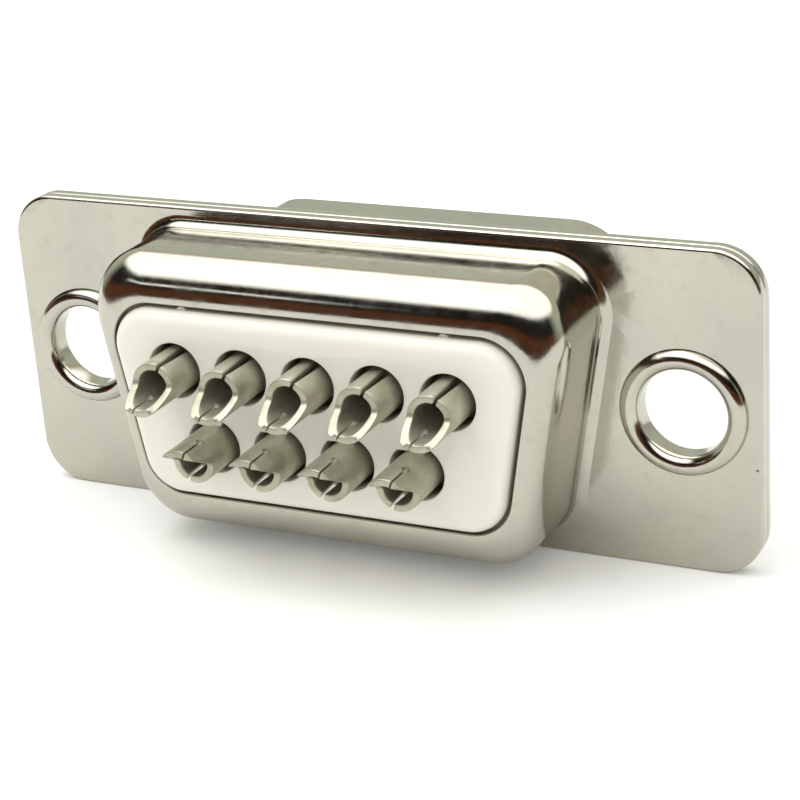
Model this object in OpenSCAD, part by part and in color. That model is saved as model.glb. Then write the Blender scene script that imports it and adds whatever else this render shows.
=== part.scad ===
// Nine-way D-shaped cable connector, plug half, with solder cups.
// X runs along the flange, Z is up (the wide side of the D) and -Y is the solder
// side. The origin lies midway between the mounting holes, on the rear face of
// the flange.
// The modules work in a panel frame: x along the flange, y up, and z towards the
// solder side. stand() turns it to face -Y.

/* [Flange] */
// Distance from a mounting hole to the end of the flanges
flange_end = 2.9; // [2.6:0.1:3.5]
// Height of both shell flanges
flange_h = 12.3; // [12.2:0.1:13]
// Corner radius of the flanges
flange_r = 1.8; // [0.8:0.1:2.4]
// Thickness of the steel sheet of each shell
sheet_t = 0.45; // [0.38:0.01:0.5]

/* [Mounting holes] */
// Distance between the two mounting holes
hole_pitch = 25; // [24.8:0.05:25.2]
// Bore of the curled eyelets
eyelet_bore = 3.3; // [3.1:0.05:3.4]
// Wall of the eyelet collars
eyelet_wall = 0.42; // [0.35:0.01:0.45]
// Width of the curled rim, across its section
rim_w = 0.74; // [0.6:0.02:0.8]
// Radius where the front flange turns into a collar
entry_r = 0.3; // [0.1:0.05:0.4]
// Clearance round a collar in the rear shell's hole
collar_gap = 0.03; // [0.02:0.01:0.1]

/* [Rear shell box] */
// Width of the box along its top, before its corners are rounded
box_w = 19.8; // [19.7:0.05:20]
// Height of the box
box_h = 10.8; // [10.7:0.05:10.9]
// Depth of the box behind the flange
box_depth = 4.3; // [4:0.1:5]
// Radius of the four upright corners of the box
box_corner_r = 2; // [1.8:0.1:2.4]
// Radius of the drawn foot of the box
box_foot_r = 0.45; // [0.3:0.05:0.5]
// Radius of the rounded rear edge, and its reach inwards along top and bottom
box_nose_r = 1.5; // [1.4:0.05:1.55]
// Reach inwards of the rounded rear edge at the two short sides
box_nose_side = 0.85; // [0.75:0.05:0.9]
// Lean of the two short sides of every D outline
side_lean = 10; // [8:0.5:11]
// Width of the punched rear opening along its top
opening_w = 17.3; // [17:0.1:17.4]
// Height of the punched rear opening
opening_h = 7.6; // [7.4:0.05:7.7]
// Corner radius of the punched rear opening
opening_r = 1.7; // [1.4:0.1:1.9]

/* [Front shell shroud] */
// Width of the shroud along its top, outside
shroud_w = 17.8; // [17.6:0.05:17.9]
// Height of the shroud, outside
shroud_h = 9.25; // [9.1:0.05:9.35]
// Reach of the shroud in front of the flange
shroud_reach = 5.8; // [5.5:0.05:6.2]
// Radius of the four corners of the shroud
shroud_corner_r = 2.6; // [2.3:0.1:2.8]
// Outer radius of the drawn foot of the shroud
shroud_foot_r = 0.3; // [0.15:0.05:0.5]
// Inner radius of the same bend, at the back of the flange
shroud_bend_r = 0.45; // [0.3:0.05:0.5]
// Broken edge at the shroud's front end
shroud_edge = 0.08; // [0.04:0.01:0.12]

/* [Insulators] */
// Height behind the flange of the face where the two insulators meet
split_z = 1.2; // [1:0.1:1.5]
// Gap between an insulator and the shell round it
fit_gap = 0.1; // [0.05:0.01:0.15]
// Gap between the rear insulator and the punched opening
opening_gap = 0.14; // [0.1:0.02:0.3]
// How far the rear insulator stands proud of the shell
rear_proud = 0.42; // [0.2:0.02:0.6]
// Rounding of the edge of the rear face
rear_edge_r = 0.5; // [0.3:0.05:0.6]
// Reach of the front insulator into the shroud, in front of the flange
front_reach = 1.1; // [0.8:0.1:2]
// Rounding of the edge of the front face
front_edge_r = 0.3; // [0.1:0.05:0.5]
// Distance from the middle to each crush rib on the rear insulator's top
rib_x = 5.3; // [4:0.1:6]
// Radius of the crush ribs
rib_r = 0.25; // [0.2:0.05:0.35]
// Gap left between a crush rib and the punched opening
rib_gap = 0.03; // [0.02:0.01:0.06]
// Diameter of the wells round the solder cups
well_d = 2.15; // [2:0.05:2.3]
// Depth of the wells
well_depth = 1.4; // [1:0.1:1.6]
// Distance of the flat in a lower well from the well's axis
flat_y = 0.8; // [0.78:0.01:0.95]
// How far that flat runs past the well's axis
flat_x = 0.38; // [0.2:0.02:0.6]

/* [Contacts] */
// Distance between neighbours in a row
pitch = 2.77; // [2.7:0.01:2.8]
// Distance between the two rows
row_gap = 2.84; // [2.8:0.01:2.9]
// Diameter of the mating pins
pin_d = 1; // [0.9:0.02:1.06]
// How far the pin tips stay behind the shroud's front end
pin_recess = 0.7; // [0.4:0.05:1.2]
// Length of the tapered pin nose
pin_nose_l = 0.8; // [0.5:0.05:1]
// Diameter of the flat on the pin nose
pin_flat_d = 0.35; // [0.2:0.05:0.5]
// Diameter of the shank inside the front insulator
shank_d = 1.6; // [1.5:0.02:1.7]
// Diameter of the shoulder held between the insulators
shoulder_d = 2; // [1.86:0.02:2.2]
// Thickness of that shoulder
shoulder_t = 0.6; // [0.5:0.05:0.9]
// Clearance round shanks, shoulders and cups in the insulators
way_gap = 0.05; // [0.03:0.01:0.08]
// Outer diameter of the solder cups
cup_d = 1.7; // [1.6:0.02:1.76]
// Bore of the solder cups
cup_bore = 1.15; // [1:0.02:1.2]
// Distance of the tip of a solder cup from the flange
cup_tip_z = 7.3; // [7.1:0.05:7.6]
// Height behind the flange of the floor of the cup's bore
cup_floor_z = 3.1; // [2.8:0.1:3.4]
// Height behind the flange where the upper half of the cup ends
mouth_z = 6.25; // [6:0.05:6.4]
// Radius of the corner between that end and the tongue
scoop_r = 0.3; // [0.15:0.05:0.5]
// Slope of the tongue's edges down towards the tip
tongue_slope = 27; // [15:1:30]
// Turn of the rolled seam away from the middle of the open side
seam_turn = 22; // [0:1:30]
// Width of the seam at the floor of the cup
seam_root_w = 0.4; // [0.2:0.02:0.44]
// Width of the seam at the mouth
seam_mouth_w = 0.14; // [0.08:0.02:0.2]
// Diameter of the relief hole opposite the seam
relief_d = 0.3; // [0.2:0.02:0.36]
// Distance of the relief hole from the tip
relief_l = 1.15; // [0.9:0.05:1.4]
// Width of the slit from the relief hole to the tip
slit_w = 0.08; // [0.05:0.01:0.12]

/* [Hidden] */
upper_count = 5;                // contacts in the wide row
lower_count = 4;                // contacts in the narrow row
corner_steps = 9;               // straight steps in one corner of a D
bend_steps = 5;                 // sections in a small bend of the sheet
nose_steps = 7;                 // sections in the rounded rear edge of the box
band = 0.15;                    // strip of flange that a drawn wall carries along
lap = 0.1;                      // overlap of two bodies that join, or of a cutter
$fn = 48;

flange_w = hole_pitch + 2 * flange_end;
stack_t = 2 * sheet_t;
front_z = -stack_t - front_reach;
back_z = box_depth + rear_proud;
lip_z = box_depth - sheet_t;
lean_run = tan(side_lean);
lean_push = 1 / cos(side_lean);
box_d = [box_w, box_h, box_corner_r];
opening_d = [opening_w, opening_h, opening_r];
shroud_d = [shroud_w, shroud_h, shroud_corner_r];
nose_end_r = opening_r + (box_h - opening_h) / 2 - box_nose_r;
collar_r = eyelet_bore / 2 + eyelet_wall;
cup_r = cup_d / 2;
pin_tip_z = pin_recess - stack_t - shroud_reach;

// ---- outlines ----

function arc(centre, r, from, to, steps = corner_steps) =
    [for (i = [0:steps]) let (a = from + (to - from) * i / steps)
        centre + r * [cos(a), sin(a)]];

function reversed(list) = [for (i = [len(list) - 1:-1:0]) list[i]];

// A D is [width of its top before rounding, height, corner radius], wide side up.
// Every D has as many points as the next, so that any two can be joined.
function d_points(d) =
    let (r = d[2],
        y = d[1] / 2 - r,
        top_x = d[0] / 2 - r * (lean_run + lean_push),
        low_x = top_x - 2 * y * lean_run)
    [each arc([top_x, y], r, -side_lean, 90),
        each arc([-top_x, y], r, 90, 180 + side_lean),
        each arc([-low_x, -y], r, 180 + side_lean, 270),
        each arc([low_x, -y], r, 270, 360 - side_lean)];

// A D with its long edges moved in by top, its short sides by side, and its
// corner radius less by corner
function shrunk(d, top, side, corner) =
    [d[0] - 2 * (top * lean_run + side * lean_push), d[1] - 2 * top, d[2] - corner];

function inset(d, by) = shrunk(d, by, by, by);

function flange_points() =
    let (x = flange_w / 2 - flange_r, y = flange_h / 2 - flange_r)
    [each arc([x, y], flange_r, 0, 90), each arc([-x, y], flange_r, 90, 180),
        each arc([-x, -y], flange_r, 180, 270), each arc([x, -y], flange_r, 270, 360)];

// ---- lofts: a section is [D, height] ----

// Joins sections in order of height. A looped loft joins the last to the first,
// which makes a tube; the other has flat ends.
module loft(sections, looped) {
    outlines = [for (s = sections) [for (p = d_points(s[0])) [p[0], p[1], s[1]]]];
    n = len(outlines[0]);
    count = len(sections);
    last = looped ? count - 1 : count - 2;
    sides = [for (i = [0:last]) for (j = [0:n - 1])
        let (low = i * n, high = (i + 1) % count * n, k = (j + 1) % n)
        each [[low + j, high + j, high + k], [low + j, high + k, low + k]]];
    ends = [[for (j = [0:n - 1]) j], [for (j = [n - 1:-1:0]) (count - 1) * n + j]];
    polyhedron([for (o = outlines) each o], looped ? sides : concat(sides, ends));
}

// Outside of the bend between a flange, whose face is at height 0, and a wall
function foot_outside(d, r) =
    [for (i = [0:bend_steps]) let (a = 90 * i / bend_steps)
        [inset(d, r * (sin(a) - 1)), r * (1 - cos(a))]];

// Inside of that bend, from the wall down to the back of the flange
function foot_inside(d, r) =
    [for (i = [0:bend_steps]) let (a = 90 * i / bend_steps)
        [inset(d, sheet_t - r * (1 - cos(a))), r * (1 - sin(a)) - sheet_t]];

// Rounded rear edge of the box: its outside with skin 0, its inside with skin
// sheet_t, and a body that clears the inside by gap
function box_nose(skin, gap) =
    [for (i = [0:nose_steps]) let (a = 90 * i / nose_steps, k = 1 - cos(a), in = skin + gap)
        [shrunk(box_d, in + (box_nose_r - skin) * k, in + (box_nose_side - skin) * k,
            in + (box_corner_r - skin - nose_end_r) * k),
            box_depth - box_nose_r + (box_nose_r - skin) * sin(a)]];

// Rounded edge of a moulded face at height z, whose sides have outline d
function face_edge(d, r, z) =
    [for (i = [0:bend_steps]) let (a = 90 * i / bend_steps)
        [inset(d, r * (1 - cos(a))), z - r * (1 - sin(a))]];

// ---- shells ----

module stand() rotate([90, 0, 0]) children();

module at_eyelets() {
    for (side = [-1, 1]) translate([side * hole_pitch / 2, 0, 0]) children();
}

// Flange sheet from height low, open inside the D and round both eyelets
module flange_sheet(low, d, hole_r) {
    translate([0, 0, low]) difference() {
        linear_extrude(sheet_t) polygon(flange_points());
        translate([0, 0, -lap]) linear_extrude(stack_t) polygon(d_points(d));
        at_eyelets() translate([0, 0, -lap]) cylinder(r = hole_r, h = stack_t);
    }
}

// Collar drawn from the front flange through the rear one and curled over it
module eyelet() {
    bore_r = eyelet_bore / 2;
    rotate_extrude() polygon([
        each arc([bore_r + entry_r, entry_r - stack_t], entry_r, 270, 180, bend_steps),
        each arc([bore_r + rim_w / 2, 0], rim_w / 2, 180, 0),
        [collar_r, 0],
        [collar_r, -sheet_t],
        [collar_r + band, -sheet_t],
        [collar_r + band, -stack_t]
    ]);
}

module shroud_wall() {
    strip_d = inset(shroud_d, -shroud_foot_r - band);
    inner_d = inset(shroud_d, sheet_t);
    translate([0, 0, -stack_t]) mirror([0, 0, 1]) loft([
        [strip_d, 0],
        each foot_outside(shroud_d, shroud_foot_r),
        [shroud_d, shroud_reach - shroud_edge],
        [inset(shroud_d, shroud_edge), shroud_reach],
        [inset(shroud_d, sheet_t - shroud_edge), shroud_reach],
        [inner_d, shroud_reach - shroud_edge],
        each foot_inside(shroud_d, shroud_bend_r),
        [strip_d, -sheet_t]
    ], true);
}

module front_shell() {
    color("silver") stand() {
        flange_sheet(-stack_t, inset(shroud_d, lap - shroud_foot_r - band), collar_r + band - lap);
        shroud_wall();
        at_eyelets() eyelet();
    }
}

module rear_shell() {
    strip_d = inset(box_d, -box_foot_r - band);
    color("silver") stand() {
        flange_sheet(-sheet_t, inset(strip_d, lap), collar_r + collar_gap);
        loft([
            [strip_d, 0],
            each foot_outside(box_d, box_foot_r),
            each box_nose(0, 0),
            [opening_d, box_depth],
            [opening_d, lip_z],
            each reversed(box_nose(sheet_t, 0)),
            each foot_inside(box_d, box_foot_r + sheet_t),
            [strip_d, -sheet_t]
        ], true);
    }
}

// ---- insulators ----

// Places of the contacts: the wide row first, each row from -x to +x
function way(i) =
    let (upper = i < upper_count,
        row = upper ? upper_count : lower_count,
        step = upper ? i : i - upper_count)
    [(step - (row - 1) / 2) * pitch, (upper ? 1 : -1) * row_gap / 2, 0];

module at_ways(first, last) {
    for (i = [first:last]) translate(way(i)) children();
}

module between(low, high, r) translate([0, 0, low]) cylinder(r = r, h = high - low);

// Seats for the shoulders, half in each insulator
module shoulder_seats() {
    at_ways(0, upper_count + lower_count - 1)
        between(split_z - shoulder_t / 2, split_z + shoulder_t / 2, shoulder_d / 2 + way_gap);
}

module front_insulator() {
    boss_d = inset(shroud_d, sheet_t + fit_gap);
    base_d = inset(box_d, sheet_t + fit_gap);
    color("gainsboro") stand() difference() {
        loft([
            each reversed([for (s = face_edge(boss_d, front_edge_r, -front_z)) [s[0], -s[1]]]),
            [boss_d, -sheet_t],
            [base_d, -sheet_t],
            [base_d, split_z]
        ], false);
        at_ways(0, upper_count + lower_count - 1)
            between(front_z - lap, split_z + lap, shank_d / 2 + way_gap);
        shoulder_seats();
    }
}

module crush_rib(side) {
    translate([side * rib_x, opening_h / 2 - rib_gap - rib_r, 0])
        between(lip_z, back_z - rear_edge_r, rib_r);
}

module rear_insulator() {
    boss_d = inset(opening_d, opening_gap);
    color("gainsboro") stand() difference() {
        union() {
            loft([
                [inset(box_d, sheet_t + fit_gap), split_z],
                each box_nose(sheet_t, fit_gap),
                [boss_d, lip_z],
                each face_edge(boss_d, rear_edge_r, back_z)
            ], false);
            for (side = [-1, 1]) crush_rib(side);
        }
        at_ways(0, upper_count + lower_count - 1)
            between(split_z - lap, back_z + lap, cup_r + way_gap);
        at_ways(0, upper_count - 1) between(back_z - well_depth, back_z + lap, well_d / 2);
        at_ways(upper_count, upper_count + lower_count - 1) flat_well();
        shoulder_seats();
    }
}

// Well of the narrow row: a flat closes most of its upper side
module flat_well() {
    difference() {
        between(back_z - well_depth, back_z + lap, well_d / 2);
        translate([-well_d, flat_y, back_z - well_depth - lap])
            cube([well_d + flat_x, well_d, well_depth + 3 * lap]);
    }
}

// ---- contacts ----

// Turned body: pin, shank, shoulder and the tube of the solder cup
module contact_body() {
    pin_r = pin_d / 2;
    flat_r = pin_flat_d / 2;
    rotate_extrude() polygon([
        [0, pin_tip_z],
        for (i = [0:bend_steps]) let (a = 90 * i / bend_steps)
            [flat_r + (pin_r - flat_r) * sin(a), pin_tip_z + pin_nose_l * (1 - cos(a))],
        [pin_r, front_z],
        [shank_d / 2, front_z],
        [shank_d / 2, split_z - shoulder_t / 2],
        [shoulder_d / 2, split_z - shoulder_t / 2],
        [shoulder_d / 2, split_z + shoulder_t / 2],
        [cup_r, split_z + shoulder_t / 2],
        [cup_r, cup_tip_z],
        [cup_bore / 2, cup_tip_z],
        [cup_bore / 2, cup_floor_z],
        [0, cup_floor_z - cup_bore / 4]
    ]);
}

// Ends the upper half of the cup and leaves a tongue with sloping edges
module scoop() {
    past_z = cup_tip_z + lap;
    corner_y = scoop_r * (1 - sin(tongue_slope)) / cos(tongue_slope);
    rotate([0, -90, 0]) linear_extrude(2 * cup_d, center = true) polygon([
        [mouth_z, cup_d],
        each arc([mouth_z + scoop_r, corner_y], scoop_r, 180, 270 - tongue_slope, bend_steps),
        [past_z, -(past_z - mouth_z) * tan(tongue_slope)],
        [past_z, cup_d]
    ]);
}

// Rolled seam, wider towards the floor of the cup
module seam() {
    past_z = mouth_z + lap;
    translate([0, cup_bore / 4, 0]) rotate([90, 0, 180])
        linear_extrude(cup_r) polygon([
            [-seam_root_w / 2, cup_floor_z],
            [seam_root_w / 2, cup_floor_z],
            [seam_mouth_w / 2, past_z],
            [-seam_mouth_w / 2, past_z]
        ]);
}

// Relief hole opposite the seam, and the slit from it to the tip
module relief() {
    hole_z = cup_tip_z - relief_l;
    translate([0, 0, hole_z]) rotate([90, 0, 0]) cylinder(d = relief_d, h = cup_d);
    translate([-slit_w / 2, -cup_d, hole_z]) cube([slit_w, cup_d, relief_l + lap]);
}

// The contacts of the narrow row are turned half round
module contact(i) {
    turn = i < upper_count ? 0 : 180;
    color("tan") stand() translate(way(i)) rotate([0, 0, turn]) difference() {
        contact_body();
        scoop();
        rotate([0, 0, -seam_turn]) {
            seam();
            relief();
        }
    }
}

front_shell();
rear_shell();
front_insulator();
rear_insulator();
contact(0);  // contact_1
contact(1);  // contact_2
contact(2);  // contact_3
contact(3);  // contact_4
contact(4);  // contact_5
contact(5);  // contact_6
contact(6);  // contact_7
contact(7);  // contact_8
contact(8);  // contact_9
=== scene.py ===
import math
import bpy
import bmesh
from mathutils import Matrix, Vector


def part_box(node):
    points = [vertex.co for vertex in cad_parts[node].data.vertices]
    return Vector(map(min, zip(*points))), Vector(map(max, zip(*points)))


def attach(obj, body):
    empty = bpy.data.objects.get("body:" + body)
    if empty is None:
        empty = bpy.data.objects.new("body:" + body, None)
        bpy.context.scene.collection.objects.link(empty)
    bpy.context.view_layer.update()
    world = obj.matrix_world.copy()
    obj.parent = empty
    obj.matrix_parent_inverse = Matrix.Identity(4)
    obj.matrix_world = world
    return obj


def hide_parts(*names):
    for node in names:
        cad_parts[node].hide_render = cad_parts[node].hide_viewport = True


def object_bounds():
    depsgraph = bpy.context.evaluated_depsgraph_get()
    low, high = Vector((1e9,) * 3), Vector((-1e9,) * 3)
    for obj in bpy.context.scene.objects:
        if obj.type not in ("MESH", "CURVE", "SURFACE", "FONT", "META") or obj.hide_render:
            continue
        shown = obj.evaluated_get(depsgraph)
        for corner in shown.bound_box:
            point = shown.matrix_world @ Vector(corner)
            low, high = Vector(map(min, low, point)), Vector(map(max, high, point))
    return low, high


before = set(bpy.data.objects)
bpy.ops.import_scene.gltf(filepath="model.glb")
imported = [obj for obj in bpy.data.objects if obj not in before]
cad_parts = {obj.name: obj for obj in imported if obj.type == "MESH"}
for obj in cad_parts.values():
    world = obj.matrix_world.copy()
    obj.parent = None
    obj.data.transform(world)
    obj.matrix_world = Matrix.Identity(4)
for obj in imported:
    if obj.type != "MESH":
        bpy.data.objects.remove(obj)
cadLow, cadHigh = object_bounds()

mm = 0.001


def nodeBox(name):
    # lowest and highest corner of a node in the panel frame, in millimetres
    low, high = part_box(name)
    return (Vector((low.x, low.z, -high.y)) / mm, Vector((high.x, high.z, -low.y)) / mm)


def stand(x, y, z):
    return Vector((x, -z, y)) * mm


def arc(centre, radius, start, end, steps):
    points = []
    for i in range(steps + 1):
        a = math.radians(start + (end - start) * i / steps)
        points.append((centre[0] + radius * math.cos(a), centre[1] + radius * math.sin(a)))
    return points


def sweep(steps):
    # sine and 1 - cosine of a quarter turn, the two shares that a rounding is made of
    for i in range(steps + 1):
        a = math.pi / 2 * i / steps
        yield math.sin(a), 1 - math.cos(a)


sideLean = math.radians(10)  # both short sides of every D lean in by this much
leanRun = math.tan(sideLean)
leanPush = 1 / math.cos(sideLean)
cornerSteps = 28  # facets to a quarter turn of an outline


def dOutline(d):
    # d is (width of the top before rounding, height, corner radius)
    width, height, radius = d
    lean = math.degrees(sideLean)
    y = height / 2 - radius
    top = width / 2 - radius * (leanRun + leanPush)
    low = top - 2 * y * leanRun
    return (arc((top, y), radius, -lean, 90, cornerSteps)
            + arc((-top, y), radius, 90, 180 + lean, cornerSteps)
            + arc((-low, -y), radius, 180 + lean, 270, cornerSteps)
            + arc((low, -y), radius, 270, 360 - lean, cornerSteps))


def shrunk(d, top, side, corner):
    return (d[0] - 2 * (top * leanRun + side * leanPush), d[1] - 2 * top, d[2] - corner)


def inset(d, by):
    return shrunk(d, by, by, by)


def plateOutline(width, height, radius, by=0.0):
    x, y, r = width / 2 - radius, height / 2 - radius, radius - by
    points = []
    for sx, sy, start in ((1, 1, 0), (-1, 1, 90), (-1, -1, 180), (1, -1, 270)):
        points += arc((sx * x, sy * y), r, start, start + 90, cornerSteps)
    return points


def circle(centre, radius, steps=96):
    return arc(centre, radius, 0, 360, steps)[:-1]


def addRing(bm, outline, z):
    return [bm.verts.new(stand(x, y, z)) for x, y in outline]


def bridge(bm, a, b):
    for i in range(len(a)):
        j = (i + 1) % len(a)
        bm.faces.new((a[i], a[j], b[j], b[i]))


def loft(bm, sections):
    # sections are (outline, z) with equal counts of points; the end rings come back
    rings = [addRing(bm, outline, z) for outline, z in sections]
    for a, b in zip(rings, rings[1:]):
        bridge(bm, a, b)
    return rings[0], rings[-1]


def fillFlat(bm, *rings):
    # one flat face with holes: the first ring is its edge, the rest are its holes
    edges = []
    for ring in rings:
        for i in range(len(ring)):
            edges.append(bm.edges.get((ring[i], ring[(i + 1) % len(ring)])))
    bmesh.ops.triangle_fill(bm, use_beauty=True, use_dissolve=False, edges=edges)


def makePiece(bm, name, material, nodes, crease=35):
    bmesh.ops.recalc_face_normals(bm, faces=bm.faces)
    mesh = bpy.data.meshes.new(name)
    bm.to_mesh(mesh)
    bm.free()
    mesh.materials.append(material)
    mesh.shade_smooth()
    mesh.set_sharp_from_angle(angle=math.radians(crease))
    piece = bpy.data.objects.new(name, mesh)
    bpy.context.scene.collection.objects.link(piece)
    # flat sheet stays flat up to its rounded edges
    weigh = piece.modifiers.new("flatFaces", "WEIGHTED_NORMAL")
    weigh.keep_sharp = True
    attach(piece, "root")
    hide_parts(*nodes)
    return piece


rearLow, rearHigh = nodeBox("rear_shell")
frontLow = nodeBox("front_shell")[0]
mouldHigh = nodeBox("rear_insulator")[1]
upperRow, lowerRow = 5, 4
contactBoxes = [nodeBox("contact_%d" % (i + 1)) for i in range(upperRow + lowerRow)]

flangeWidth = rearHigh.x - rearLow.x
flangeHeight = rearHigh.y - rearLow.y
sheet = -rearLow.z  # the rear flange's face is at z = 0
boxDepth = rearHigh.z
rearFace = mouldHigh.z
shroudTip = frontLow.z
contactPlaces = [((low.x + high.x) / 2, (low.y + high.y) / 2) for low, high in contactBoxes]
cupTip = contactBoxes[0][1].z
pinTip = contactBoxes[0][0].z
slack = 0.005  # left open between two faces that would lie in one plane
print("frame read: flange %.1f x %.1f mm, sheet %.2f mm" % (flangeWidth, flangeHeight, sheet))


def linear(hexColour):
    # sRGB hex, such as "c8c4b8", to the linear colour that shaders take
    channels = []
    for i in (0, 2, 4):
        c = int(hexColour[i:i + 2], 16) / 255
        channels.append(c / 12.92 if c <= 0.04045 else ((c + 0.055) / 1.055) ** 2.4)
    return (*channels, 1.0)


def addNode(tree, kind, links=None, **settings):
    # adds a node, sets its properties and its inputs by name or number, and links them
    node = tree.nodes.new(kind)
    for key, value in settings.items():
        setattr(node, key, value)
    for key, value in (links or {}).items():
        socket = node.inputs[key]
        if isinstance(value, bpy.types.NodeSocket):
            tree.links.new(value, socket)
        else:
            socket.default_value = value
    return node


def newMaterial(name):
    material = bpy.data.materials.new(name)
    material.use_nodes = True
    tree = material.node_tree
    shader = tree.nodes["Principled BSDF"]
    return material, tree, shader


def noiseAt(tree, place, perMm, detail=2.0, rough=0.5):
    return addNode(tree, "ShaderNodeTexNoise", {"Vector": place, "Scale": perMm / mm, "Detail": detail,
                   "Roughness": rough}).outputs["Fac"]


def stretch(tree, value, low, high, toLow, toHigh):
    # maps a value between two bounds to two others, and holds it there
    return addNode(tree, "ShaderNodeMapRange", {"Value": value, "From Min": low, "From Max": high,
                   "To Min": toLow, "To Max": toHigh}).outputs["Result"]


def blend(tree, factor, a, b):
    return addNode(tree, "ShaderNodeMix", {0: factor, 6: a, 7: b}, data_type="RGBA").outputs[2]


# outline of a speck, in mm: how far it wanders, at how many grains to the mm, and its soft border
speckForm = {"wander": 0.06, "grain": 9.0, "inner": -0.01, "outer": 0.05}


def speckled(tree, place, base, specks):
    # dark specks: each is (place in the panel frame, radius in mm, colour)
    form = speckForm
    wander = noiseAt(tree, place, form["grain"])
    for spot, radius, colour in specks:
        away = addNode(tree, "ShaderNodeVectorMath", {0: place, 1: stand(*spot)}, operation="DISTANCE")
        ragged = addNode(tree, "ShaderNodeMath", {0: wander, 1: form["wander"] * mm,
                         2: away.outputs["Value"]}, operation="MULTIPLY_ADD").outputs[0]
        inner, outer = (radius + form["inner"]) * mm, (radius + form["outer"]) * mm
        base = blend(tree, stretch(tree, ragged, inner, outer, 1.0, 0.0), base, linear(colour))
    return base


# grains to the mm, and depths in mm
tinLook = {
    "tint": "c2bfb2", "cool": "b7b6ac", "dull": "a5a294",
    "clouds": 0.22,                      # patches of a slightly cooler tint
    "scuffs": 1.6,                       # where the tin is rubbed, it is duller and rougher
    "roughLow": 0.09, "roughHigh": 0.2,
    "peel": 0.9, "peelDepth": 0.0035,    # long soft ripple of the rolled sheet
    "grain": 7.5, "grainDepth": 0.0011,  # fine grain that breaks up sharp reflections
}
tinSpecks = [((15.2, -1.9, 0.0), 0.05, "2c241a"), ((8.9, -1.6, 2.1), 0.06, "4a4234"),
             ((8.75, -2.3, 1.7), 0.05, "4a4234"), ((8.6, -3.1, 1.9), 0.04, "4a4234")]


def tinPlate(name, look, specks):
    # Drawn mild steel under bright tin: mirror bands on every bend, broken up by fine grain,
    # and a pale warm grey with faint clouds where the sheet is flat
    material, tree, shader = newMaterial(name)
    place = addNode(tree, "ShaderNodeTexCoord").outputs["Object"]
    clouds = stretch(tree, noiseAt(tree, place, look["clouds"], 4.0), 0.35, 0.65, 0.0, 1.0)
    colour = blend(tree, clouds, linear(look["tint"]), linear(look["cool"]))
    scuffs = noiseAt(tree, place, look["scuffs"], 6.0, 0.7)
    colour = blend(tree, stretch(tree, scuffs, 0.56, 0.75, 0.0, 0.6), colour, linear(look["dull"]))
    tree.links.new(speckled(tree, place, colour, specks), shader.inputs["Base Color"])
    rough = stretch(tree, scuffs, 0.3, 0.7, look["roughLow"], look["roughHigh"])
    tree.links.new(rough, shader.inputs["Roughness"])
    peel = addNode(tree, "ShaderNodeBump", {"Height": noiseAt(tree, place, look["peel"], 2.0),
                   "Distance": look["peelDepth"] * mm})
    grain = addNode(tree, "ShaderNodeBump", {"Height": noiseAt(tree, place, look["grain"], 1.0),
                    "Distance": look["grainDepth"] * mm, "Normal": peel.outputs["Normal"]})
    tree.links.new(grain.outputs["Normal"], shader.inputs["Normal"])
    shader.inputs["Metallic"].default_value = 1.0
    return material


mouldLook = {
    # the second colour is painted shade: the olive that stands in for shadow in wells, bores and recesses
    "tint": "e6e5db", "wellShade": "6a643a",
    "shadeStart": 0.1, "shadeEnd": 1.1,  # how far under the face, in mm, the painted shade starts and ends turning it olive
    "rough": 0.4, "skin": 2.5, "skinDepth": 0.004,
}
mouldSpecks = [((-4.74, -0.03, 4.72), 0.07, "7a5a3a"), ((-1.94, 0.04, 4.72), 0.05, "6a5038"),
               ((0.88, -0.17, 4.72), 0.06, "7a5a3a"), ((3.82, -0.13, 4.72), 0.05, "6a5038"),
               ((4.53, -0.24, 4.72), 0.05, "7a5a3a")]


def polyester(name, look, face, specks):
    # Glass-filled polyester, moulded: chalky off-white, with painted shade that turns it olive down in its
    # wells
    material, tree, shader = newMaterial(name)
    place = addNode(tree, "ShaderNodeTexCoord").outputs["Object"]
    along = addNode(tree, "ShaderNodeSeparateXYZ", {"Vector": place}).outputs["Y"]
    inward = 1 if face > 0 else -1  # the rear face lies at negative Y
    start, end = ((-face + inward * depth) * mm for depth in (look["shadeStart"], look["shadeEnd"]))
    # painted shade: the deeper a surface lies under the face, the more it turns from the off-white to the
    # olive shade colour
    shadeShare = stretch(tree, along, start, end, 0.0, 1.0)
    colour = blend(tree, shadeShare, linear(look["tint"]), linear(look["wellShade"]))
    tree.links.new(speckled(tree, place, colour, specks), shader.inputs["Base Color"])
    shader.inputs["Roughness"].default_value = look["rough"]
    bump = addNode(tree, "ShaderNodeBump", {"Height": noiseAt(tree, place, look["skin"], 3.0),
                   "Distance": look["skinDepth"] * mm})
    tree.links.new(bump.outputs["Normal"], shader.inputs["Normal"])
    return material


cupLook = {"tint": "bdbaa9", "dull": "a29f8a", "clouds": 1.1, "metallic": 0.7, "rough": 0.42}


def cupPlate(name, look):
    # Formed brass under dull tin: soft pale grey in faint warm clouds, with no sharp reflection
    material, tree, shader = newMaterial(name)
    place = addNode(tree, "ShaderNodeTexCoord").outputs["Object"]
    clouds = stretch(tree, noiseAt(tree, place, look["clouds"], 4.0), 0.35, 0.7, 0.0, 1.0)
    colour = blend(tree, clouds, linear(look["tint"]), linear(look["dull"]))
    tree.links.new(colour, shader.inputs["Base Color"])
    shader.inputs["Metallic"].default_value = look["metallic"]
    shader.inputs["Roughness"].default_value = look["rough"]
    return material


rearTin = tinPlate("brightTinRear", tinLook, tinSpecks)
frontTin = tinPlate("brightTinFront", tinLook, [])
frontReach = 1.1  # how far the front insulator stands past both sheets
frontFace = -2 * sheet - frontReach
rearMould = polyester("polyesterRear", mouldLook, rearFace, mouldSpecks)
frontMould = polyester("polyesterFront", mouldLook, frontFace, [])
dullTin = cupPlate("dullTinBrass", cupLook)
print("materials made")

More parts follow.
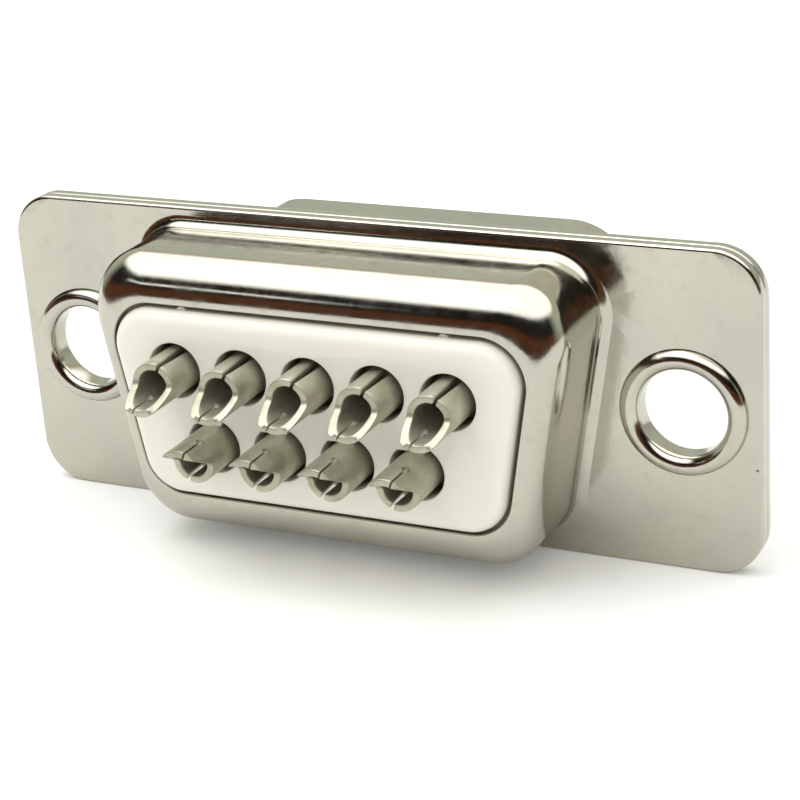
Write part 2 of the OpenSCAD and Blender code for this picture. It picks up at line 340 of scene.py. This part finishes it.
boxForm = {
    "top": 19.8, "corner": 2.0,          # outline of the box
    "foot": 0.45,                        # drawn radius at the flange
    "noseReach": 1.5, "noseSide": 0.85,  # rounding of the rear edge
    "openingTop": 17.3, "openingHeight": 7.6, "openingCorner": 1.7,
    "openingEdge": 0.04,
    "height": 10.8,
}
flangeForm = {
    "corner": 1.8,
    "rollOver": 0.12,   # soft edge on the side that the punch entered
    "burr": 0.03,       # crisp edge on the other side
    "holePitch": 25.0, "hole": 2.1,
}
box = (boxForm["top"], boxForm["height"], boxForm["corner"])
opening = (boxForm["openingTop"], boxForm["openingHeight"], boxForm["openingCorner"])
noseEndCorner = boxForm["openingCorner"] + (boxForm["height"] - boxForm["openingHeight"]) / 2 \
    - boxForm["noseReach"]
holes = [(-flangeForm["holePitch"] / 2, 0), (flangeForm["holePitch"] / 2, 0)]


def flangeEdge(back, front, backRadius, frontRadius):
    # sections of a sheared sheet's edge, from its rear face to its front face
    sections = []
    for s, c in sweep(6):
        sections.append((backRadius * (1 - s), back - backRadius * c))
    for s, c in sweep(3):
        sections.append((frontRadius * c, front + frontRadius * (1 - s)))
    return [(plateOutline(flangeWidth, flangeHeight, flangeForm["corner"], by), z)
            for by, z in sections]


def footOutside(d, r, z, way):
    return [(dOutline(inset(d, r * (s - 1))), z + way * r * c) for s, c in sweep(10)]


def footInside(d, r, z, way):
    return [(dOutline(inset(d, sheet - r * c)), z + way * (r * (1 - s) - sheet)) for s, c in sweep(10)]


def boxNose(skin, gap, steps=18):
    sections = []
    inner = skin + gap
    reach = boxForm["noseReach"] - skin
    side = boxForm["noseSide"] - skin
    corner = boxForm["corner"] - skin - noseEndCorner
    for s, c in sweep(steps):
        outline = dOutline(shrunk(box, inner + reach * c, inner + side * c, inner + corner * c))
        sections.append((outline, boxDepth - boxForm["noseReach"] + reach * s))
    return sections


def makeRearShell():
    bm = bmesh.new()
    front = -sheet + slack
    edgeBack, edgeFront = loft(bm, flangeEdge(0, front, flangeForm["rollOver"], flangeForm["burr"]))
    lipEdge = boxForm["openingEdge"]
    wall = (footOutside(box, boxForm["foot"], 0, 1) + boxNose(0, 0)
            + [(dOutline(inset(opening, -lipEdge)), boxDepth), (dOutline(opening), boxDepth - lipEdge),
               (dOutline(opening), boxDepth - sheet)]
            + boxNose(sheet, 0)[::-1]
            + footInside(box, boxForm["foot"] + sheet, 0, 1))
    wall[-1] = (wall[-1][0], front)
    footBack, footFront = loft(bm, wall)
    backHoles, frontHoles = [], []
    for centre in holes:
        hole = circle(centre, flangeForm["hole"])
        backRing, frontRing = loft(bm, [(hole, 0), (hole, front)])
        backHoles.append(backRing)
        frontHoles.append(frontRing)
    fillFlat(bm, edgeBack, footBack, *backHoles)
    fillFlat(bm, edgeFront, footFront, *frontHoles)
    return makePiece(bm, "rearShell", rearTin, ["rear_shell"])


shroudForm = {"top": 17.8, "height": 9.25, "corner": 2.6, "foot": 0.3, "bend": 0.45, "edge": 0.08,
              "flangeBack": 0.1, "flangeFront": 0.06}  # soft edges of the front flange
eyeletForm = {"bore": 1.65, "wall": 0.42, "rim": 0.74, "entry": 0.3}
shroud = (shroudForm["top"], shroudForm["height"], shroudForm["corner"])
stack = 2 * sheet


def makeFrontShell():
    bm = bmesh.new()
    form = shroudForm
    edgeBack, edgeFront = loft(bm, flangeEdge(-sheet, -stack, form["flangeBack"], form["flangeFront"]))
    lip = [(form["edge"] * c, shroudTip + form["edge"] * (1 - s)) for s, c in sweep(4)]
    outer = [(dOutline(inset(shroud, by)), z) for by, z in lip]
    inner = [(dOutline(inset(shroud, sheet - by)), z) for by, z in lip]
    wall = (footOutside(shroud, form["foot"], -stack, -1) + outer + inner[::-1]
            + footInside(shroud, form["bend"], -stack, -1))
    footFront, footBack = loft(bm, wall)
    backHoles, frontHoles = [], []
    bore, rim, entry = eyeletForm["bore"], eyeletForm["rim"] / 2, eyeletForm["entry"]
    collar = bore + eyeletForm["wall"]
    for centre in holes:
        profile = arc((bore + entry, entry - stack), entry, 270, 180, 8)
        profile += arc((bore + rim, 0), rim, 180, 0, 24)
        profile += [(collar, 0), (collar, -sheet)]
        front, back = loft(bm, [(circle(centre, r), z) for r, z in profile])
        frontHoles.append(front)
        backHoles.append(back)
    fillFlat(bm, edgeBack, footBack, *backHoles)
    fillFlat(bm, edgeFront, footFront, *frontHoles)
    return makePiece(bm, "frontShell", frontTin, ["front_shell"])


mouldForm = {
    "gap": 0.1, "openingGap": 0.14, "rearEdge": 0.5, "frontEdge": 0.3, "split": 1.2,
    "well": 1.075, "wellDepth": 1.4, "wellEdge": 0.05, "flatHeight": 0.8, "flatReach": 0.38,
    "cupBore": 0.9, "pinBore": 0.85,
    "blind": 1.0,  # a bore is followed this far down, where it can't be seen into further
    "ribPlace": 5.3, "ribRadius": 0.25, "ribGap": 0.03,
}


def wellOutline(centre, flat, grow=0.0):
    # a round well, or one whose upper left is closed by a flat
    radius = mouldForm["well"] + grow
    points = circle((0, 0), radius)
    if flat:
        height, reach = mouldForm["flatHeight"] + grow, mouldForm["flatReach"] + grow
        points = [(x, min(y, height) if x < reach else y) for x, y in points]
    return [(x + centre[0], y + centre[1]) for x, y in points]


def makeRearInsulator():
    bm = bmesh.new()
    skin = sheet + mouldForm["gap"]
    boss = inset(opening, mouldForm["openingGap"])
    edge = mouldForm["rearEdge"]
    body = ([(dOutline(inset(box, skin)), mouldForm["split"])] + boxNose(sheet, mouldForm["gap"])
            + [(dOutline(boss), boxDepth - sheet)]
            + [(dOutline(inset(boss, edge * c)), rearFace - edge * (1 - s)) for s, c in sweep(12)])
    base, face = loft(bm, body)
    bm.faces.new(base)
    mouths = []
    floor = rearFace - mouldForm["wellDepth"]
    soft = mouldForm["wellEdge"]
    for i, centre in enumerate(contactPlaces):
        flat = i >= upperRow
        rings = [(wellOutline(centre, flat, soft * c), rearFace - soft * (1 - s))
                 for s, c in list(sweep(4))[::-1]]
        rings += [(wellOutline(centre, flat), floor), (circle(centre, mouldForm["cupBore"]), floor),
                  (circle(centre, mouldForm["cupBore"]), floor - mouldForm["blind"])]
        mouth, end = loft(bm, rings)
        bm.faces.new(end)
        mouths.append(mouth)
    fillFlat(bm, face, *mouths)
    for side in (-1, 1):
        rib = mouldForm["ribRadius"]
        centre = (side * mouldForm["ribPlace"], boxForm["openingHeight"] / 2 - mouldForm["ribGap"] - rib)
        low, high = loft(bm, [(circle(centre, rib, 32), boxDepth - sheet),
                              (circle(centre, rib, 32), rearFace - edge)])
        bm.faces.new(low)
        bm.faces.new(high)
    return makePiece(bm, "rearInsulator", rearMould, ["rear_insulator"])


def makeFrontInsulator():
    bm = bmesh.new()
    skin = sheet + mouldForm["gap"]
    boss = inset(shroud, skin)
    edge = mouldForm["frontEdge"]
    body = [(dOutline(inset(boss, edge * c)), frontFace + edge * (1 - s)) for s, c in sweep(8)]
    body = body[::-1] + [(dOutline(boss), -sheet), (dOutline(inset(box, skin)), -sheet),
                         (dOutline(inset(box, skin)), mouldForm["split"] - slack)]
    face, base = loft(bm, body)
    bm.faces.new(base)
    mouths = []
    soft = mouldForm["wellEdge"]
    for centre in contactPlaces:
        bore = mouldForm["pinBore"]
        rings = [(circle(centre, bore + soft * c, 48), frontFace + soft * (1 - s))
                 for s, c in list(sweep(4))[::-1]]
        rings.append((circle(centre, bore, 48), frontFace + mouldForm["blind"]))
        mouth, end = loft(bm, rings)
        bm.faces.new(end)
        mouths.append(mouth)
    fillFlat(bm, face, *mouths)
    return makePiece(bm, "frontInsulator", frontMould, ["front_insulator"])


cupForm = {
    "outer": 0.85, "bore": 0.575, "root": 3.1,
    "lipEdge": 0.04, "mouthEdge": 0.05,                     # softened along the seam, and round the mouth
    "mouth": 6.25, "mouthRadius": 0.3, "tongueSlope": 27,   # where the upper half ends
    "seamTurn": 22, "seamRoot": 0.4, "seamMouth": 0.14,     # degrees off the top, and widths
    "relief": 0.15, "reliefBack": 1.15, "slit": 0.08,
    "reliefReach": (0.3, 1.2),                              # cut from and to, off the cup's axis
    "pin": 0.5, "pinNose": 0.8, "pinFlat": 0.175, "pinStep": 0.03, "shank": 0.8,
    "shoulder": 1.0, "shoulderThick": 0.6,
}
arcStations = 96
rowsAlong = 14


def mouthHeight(y):
    # where the cup's wall ends at a height in its section: cut above, tongue below
    radius, start = cupForm["mouthRadius"], cupForm["mouth"]
    slope = math.radians(cupForm["tongueSlope"])
    corner = radius * (1 - math.sin(slope)) / math.cos(slope)
    if y > corner:
        return start
    if y > corner - radius * math.cos(slope):
        return start + radius - math.sqrt(radius ** 2 - (corner - y) ** 2)
    return min(cupTip, start - y / math.tan(slope))


def cupSection(share, shrink=0.0):
    # closed outline of the rolled strip at a share of its length, with softened lips
    form = cupForm
    outer, bore = form["outer"] - shrink, form["bore"] + shrink
    seam = 90 - form["seamTurn"]
    width = form["seamRoot"] + (form["seamMouth"] - form["seamRoot"]) * share
    half = math.degrees(width / 2 / outer) + math.degrees(shrink / outer)
    soft = form["lipEdge"]
    softOut, softIn = math.degrees(soft / outer), math.degrees(soft / bore)
    start, end = seam + half - 360, seam - half
    lips = [[arc((0, 0), radius, angle, angle, 1)[0] for radius in (outer - soft, bore + soft)]
            for angle in (end, start)]
    return (arc((0, 0), outer, start + softOut, end - softOut, arcStations) + lips[0]
            + arc((0, 0), bore, end - softIn, start + softIn, arcStations) + lips[1][::-1])


def reliefCutter():
    # round hole opposite the seam and the slit from it to the tip
    form = cupForm
    away = Matrix.Rotation(math.radians(90 - form["seamTurn"] + 180), 3, "Z")
    hole = cupTip - form["reliefBack"]
    half, past = form["slit"] / 2, cupTip + 0.2
    bm = bmesh.new()
    for outline in (circle((0, hole), form["relief"], 32),
                    [(-half, hole), (half, hole), (half, past), (-half, past)]):
        rings = []
        for reach in form["reliefReach"]:
            corners = [away @ Vector((reach, side, z)) for side, z in outline]
            rings.append([bm.verts.new(stand(*corner)) for corner in corners])
        bridge(bm, *rings)
        for ring in rings:
            bm.faces.new(ring)
    bmesh.ops.recalc_face_normals(bm, faces=bm.faces)
    return bm


def carved(bm, cutter):
    # cuts one mesh from another at a scale of a metre to the millimetre
    pair = []
    for part in (bm, cutter):
        bmesh.ops.recalc_face_normals(part, faces=part.faces)
        bmesh.ops.scale(part, verts=part.verts, vec=(1 / mm,) * 3)
        mesh = bpy.data.meshes.new("cut")
        part.to_mesh(mesh)
        part.free()
        pair.append(bpy.data.objects.new("cut", mesh))
        bpy.context.scene.collection.objects.link(pair[-1])
    carve = pair[0].modifiers.new("carve", "BOOLEAN")
    carve.operation = "DIFFERENCE"
    carve.solver = "EXACT"
    carve.use_self = True
    carve.object = pair[1]
    result = bmesh.new()
    result.from_object(pair[0], bpy.context.evaluated_depsgraph_get())
    for holder in pair:
        bpy.data.meshes.remove(holder.data)
    bmesh.ops.scale(result, verts=result.verts, vec=(mm,) * 3)
    return result


def makeCupMesh():
    # one cup and pin about its own axis, scoop up, in the panel frame
    form = cupForm
    bm = bmesh.new()
    rim, root = form["mouthEdge"], form["root"]
    rows = []
    for k in range(rowsAlong + 1):
        t = k / rowsAlong
        rows.append((cupSection(t), t, rim))
    for s, c in list(sweep(4))[1:]:
        rows.append((cupSection(1, rim * c), 1, rim * (1 - s)))
    rings = []
    for outline, t, back in rows:
        ring = []
        for x, y in outline:
            end = mouthHeight(y) - back
            ring.append(bm.verts.new(stand(x, y, root + (end - root) * t)))
        rings.append(ring)
    for a, b in zip(rings, rings[1:]):
        bridge(bm, a, b)
    # mouth: joins the outer stations to the inner ones across the wall
    n = arcStations + 1
    for ring in (rings[0], rings[-1]):
        outerRun = ring[:n]
        innerRun = ring[n + 2:2 * n + 2][::-1]
        for i in range(n - 1):
            bm.faces.new((outerRun[i], outerRun[i + 1], innerRun[i + 1], innerRun[i]))
        bm.faces.new((outerRun[-1], ring[n], ring[n + 1], innerRun[-1]))
        bm.faces.new((innerRun[0], ring[2 * n + 2], ring[2 * n + 3], outerRun[0]))
    bm = carved(bm, reliefCutter())
    # pin, shank and shoulder
    shoulderLow = mouldForm["split"] - form["shoulderThick"] / 2
    shoulderHigh = mouldForm["split"] + form["shoulderThick"] / 2
    profile = [(form["pinFlat"] + (form["pin"] - form["pinFlat"]) * s, pinTip + form["pinNose"] * c)
               for s, c in sweep(10)]
    profile += [(form["pin"], frontFace - form["pinStep"]), (form["shank"], frontFace),
                (form["shank"], shoulderLow), (form["shoulder"], shoulderLow),
                (form["shoulder"], shoulderHigh), (form["outer"], shoulderHigh),
                (form["outer"], root - 0.002)]  # ends just short of the cup
    low, high = loft(bm, [(circle((0, 0), r, 64), z) for r, z in profile])
    bm.faces.new(low)
    bm.faces.new(high)
    bmesh.ops.recalc_face_normals(bm, faces=bm.faces)
    return bm


def makeContacts():
    for i, (x, y) in enumerate(contactPlaces):
        bm = makeCupMesh()
        turn = Matrix.Rotation(math.radians(180 if i >= upperRow else 0), 3, "Y")
        bmesh.ops.rotate(bm, verts=bm.verts, cent=(0, 0, 0), matrix=turn)
        bmesh.ops.translate(bm, verts=bm.verts, vec=stand(x, y, 0))
        makePiece(bm, "contact%d" % (i + 1), dullTin, ["contact_%d" % (i + 1)], crease=40)


makeRearShell()
makeFrontShell()
print("shells made")
makeRearInsulator()
makeFrontInsulator()
makeContacts()
print("insulators and contacts made")

studio = {
    "azimuth": 27.236, "elevation": 21.835, "roll": -4.072,
    "distance": 82.783, "target": (1.276, 0.0, -0.805), "lens": 98.8,
    "paperLow": (-250, -62), "paperHigh": (250, 400),  # the sheet under the part, in mm
    "paper": "f4f4f2", "paperLift": 0.08,              # the lift is for the camera alone
}
# each stop is the sine of its height, a colour and a level; the peak is the highest of those levels
room = {
    "peak": 2.2,
    "front": [(-1.0, "2a1c10", 1.0), (-0.1, "4a2c18", 1.0), (0.14, "6a3a1a", 1.0), (0.26, "140d06", 1.0),
              (0.6, "12100a", 1.0), (0.7, "ffffff", 2.2), (1.0, "ffffff", 2.2)],
    "behind": [(-1.0, "8d8a80", 1.0), (0.0, "b4b4ae", 1.0), (0.3, "ccd0c0", 1.1), (0.48, "ccd0c0", 1.1),
               (0.56, "cbb48c", 1.0), (0.64, "ffffff", 2.2), (1.0, "ffffff", 2.2)],
    "sideBlend": (-0.15, 0.25),
    "dome": (0.75, 1.25), "domeColour": "fffefa",
}


def makeCamera():
    a, e, r = (math.radians(studio[k]) for k in ("azimuth", "elevation", "roll"))
    back = Vector((math.sin(a) * math.cos(e), -math.cos(a) * math.cos(e), math.sin(e)))
    right = Vector((math.cos(a), math.sin(a), 0))
    up = back.cross(right)
    right, up = (right * math.cos(r) + up * math.sin(r), up * math.cos(r) - right * math.sin(r))
    camera = bpy.data.cameras.new("camera")
    camera.lens = studio["lens"]
    camera.sensor_width = 36
    camera.clip_start, camera.clip_end = 1 * mm, 10
    holder = bpy.data.objects.new("camera", camera)
    holder.matrix_world = Matrix.Translation((Vector(studio["target"]) + back * studio["distance"]) * mm) \
        @ Matrix((right, up, back)).transposed().to_4x4()
    bpy.context.scene.collection.objects.link(holder)
    bpy.context.scene.camera = holder


def makeFloor():
    bm = bmesh.new()
    low, high = studio["paperLow"], studio["paperHigh"]
    corners = [(low[0], low[1]), (high[0], low[1]), (high[0], high[1]), (low[0], high[1])]
    bm.faces.new([bm.verts.new((x * mm, y * mm, cadLow.z)) for x, y in corners])
    mesh = bpy.data.meshes.new("studioFloor")
    bm.to_mesh(mesh)
    bm.free()
    floor = bpy.data.objects.new("studioFloor", mesh)
    bpy.context.scene.collection.objects.link(floor)
    material, tree, shader = newMaterial("paperSweep")
    shader.inputs["Base Color"].default_value = linear(studio["paper"])
    shader.inputs["Roughness"].default_value = 1.0
    shader.inputs["Specular IOR Level"].default_value = 0.0
    seen = addNode(tree, "ShaderNodeLightPath").outputs["Is Camera Ray"]
    lift = addNode(tree, "ShaderNodeMath", {0: seen, 1: studio["paperLift"]}, operation="MULTIPLY")
    shader.inputs["Emission Color"].default_value = (1, 1, 1, 1)
    tree.links.new(lift.outputs[0], shader.inputs["Emission Strength"])
    mesh.materials.append(material)


# places, aims and sizes in metres, power in watts
lamps = {
    "topBox": {"place": (-0.08, -0.06, 0.3), "aim": (0, 0, 0), "size": (0.2, 0.2), "power": 0.35},
    "streak": {"place": (-0.042, -0.0515, 0.0295), "aim": (-0.007, -0.004, 0.004),
               "size": (0.028, 0.0025), "power": 0.0006},
}


def makeLamp(name, values):
    light = bpy.data.lights.new(name, "AREA")
    light.shape = "RECTANGLE"
    light.size, light.size_y = values["size"]
    light.energy = values["power"]
    holder = bpy.data.objects.new(name, light)
    holder.location = values["place"]
    holder.rotation_mode = "QUATERNION"
    aim = Vector(values["aim"]) - Vector(values["place"])
    holder.rotation_quaternion = aim.to_track_quat("-Z", "Y")
    bpy.context.scene.collection.objects.link(holder)


def roomRamp(tree, height, stops, peak):
    # colours of one side of the room by the sine of their height
    share = addNode(tree, "ShaderNodeMath", {0: height, 1: 0.5, 2: 0.5}, operation="MULTIPLY_ADD")
    ramp = addNode(tree, "ShaderNodeValToRGB", {"Fac": share.outputs[0]})
    elements = ramp.color_ramp.elements
    while len(elements) < len(stops):
        elements.new(0.5)
    for element, (sine, colour, level) in zip(elements, stops):
        element.position = sine / 2 + 0.5
        element.color = [c * level / peak for c in linear(colour)[:3]] + [1.0]
    return ramp.outputs["Color"]


def makeWorld():
    # the camera sees white, bare metal sees a room, and everything else a soft white dome
    world = bpy.data.worlds.new("studio")
    bpy.context.scene.world = world
    world.use_nodes = True
    tree = world.node_tree
    tree.nodes.clear()
    rays = addNode(tree, "ShaderNodeLightPath").outputs
    way = addNode(tree, "ShaderNodeSeparateXYZ",
                  {"Vector": addNode(tree, "ShaderNodeTexCoord").outputs["Generated"]}).outputs
    peak = room["peak"]
    front = roomRamp(tree, way["Z"], room["front"], peak)
    behind = roomRamp(tree, way["Z"], room["behind"], peak)
    side = stretch(tree, way["Y"], *room["sideBlend"], 0.0, 1.0)
    colour = blend(tree, side, front, behind)
    metal = addNode(tree, "ShaderNodeBackground", {"Color": colour, "Strength": peak})
    level = stretch(tree, way["Z"], -0.2, 1.0, *room["dome"])
    dome = addNode(tree, "ShaderNodeBackground", {"Color": linear(room["domeColour"]), "Strength": level})
    white = addNode(tree, "ShaderNodeBackground", {"Color": (1, 1, 1, 1), "Strength": 1.0})
    mixed = dome
    for ray, sky in (("Is Glossy Ray", metal), ("Is Camera Ray", white)):
        mixed = addNode(tree, "ShaderNodeMixShader", {0: rays[ray], 1: mixed.outputs[0], 2: sky.outputs[0]})
    addNode(tree, "ShaderNodeOutputWorld", {"Surface": mixed.outputs[0]})


makeCamera()
makeFloor()
for name, values in lamps.items():
    makeLamp(name, values)
makeWorld()
bpy.context.scene.view_settings.view_transform = "Standard"
print("studio made")
